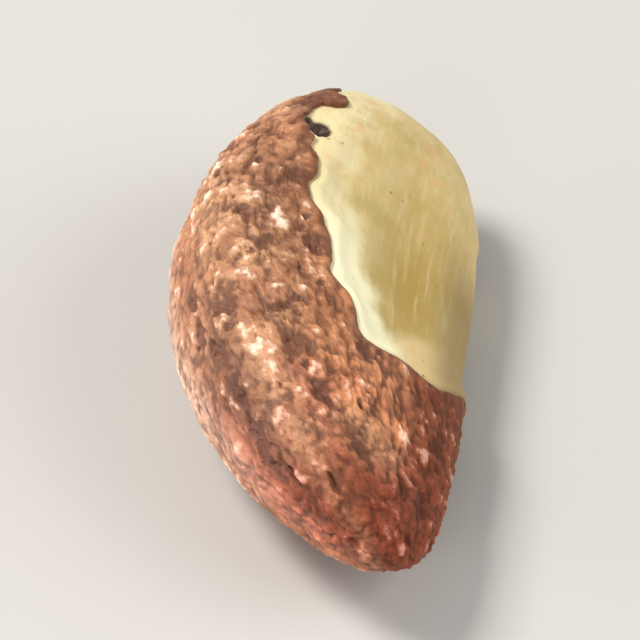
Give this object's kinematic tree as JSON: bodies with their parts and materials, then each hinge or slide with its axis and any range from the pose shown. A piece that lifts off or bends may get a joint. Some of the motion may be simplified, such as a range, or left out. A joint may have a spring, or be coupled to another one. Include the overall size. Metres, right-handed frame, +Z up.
{
  "type": "shelled brazil nut",
  "caption": "Shelled brazil nut lying on a flat side: a rounded three-sided crescent with granular brown skin, partly rubbed off the pale kernel.",
  "frame": {"origin": "on the surface the nut lies on, under the middle of its box", "axes": "+X from the narrow end to the broad end, +Y towards the rounded back, +Z up"},
  "size_m": [0.0358, 0.017, 0.0138],
  "materials": {
    "brazil_nut": "reddish-brown granular skin with a dull sheen, and pale waxy kernel where the skin has rubbed off"
  },
  "bodies": {
    "root": {"brazil_nut": "brazil_nut"}
  },
  "joints": []
}
